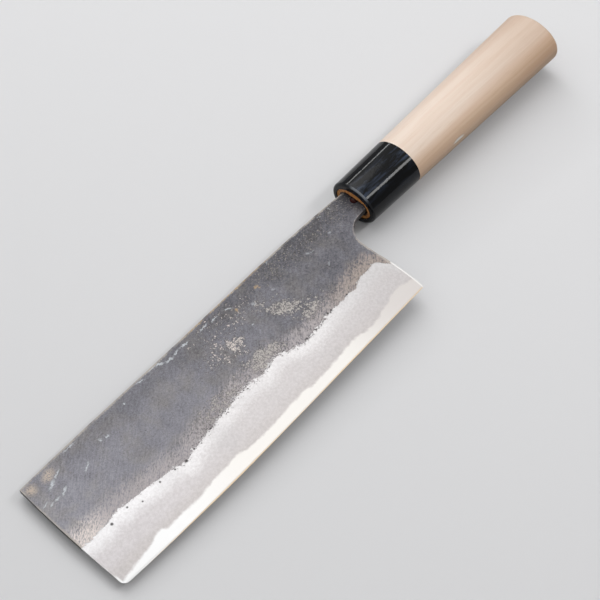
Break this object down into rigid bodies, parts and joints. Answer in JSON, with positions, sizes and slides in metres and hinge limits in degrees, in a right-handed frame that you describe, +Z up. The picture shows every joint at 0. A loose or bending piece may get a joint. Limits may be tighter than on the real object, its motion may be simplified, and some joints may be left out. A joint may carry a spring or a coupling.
{
  "type": "nakiri knife",
  "caption": "Straight-edged vegetable knife: layered forged blade with dark flats and ground bevel, oval wooden handle with black ferrule.",
  "frame": {"origin": "centre of the footprint on the table, at the table's height, with the knife lying on its right side", "axes": "+X from the tip to the butt, +Y from the edge to the spine, +Z up out of the blade's left face; the blade leans 1.8 degrees down towards the tip, as the knife rests on its butt and tip"},
  "size_m": [0.3032, 0.0626, 0.0236],
  "materials": {
    "hard_steel": "finely polished cutting steel",
    "soft_iron": "black forge scale above, satin ground bevel below",
    "pale_wood": "bare, finely sanded, straight grain",
    "black_ferrule": "polished black",
    "resin": "clear dark red resin"
  },
  "bodies": {
    "root": {"core_steel": "hard_steel", "left_cladding": "soft_iron", "right_cladding": "soft_iron", "handle": "pale_wood", "ferrule": "black_ferrule", "tang_resin": "resin"}
  },
  "joints": []
}
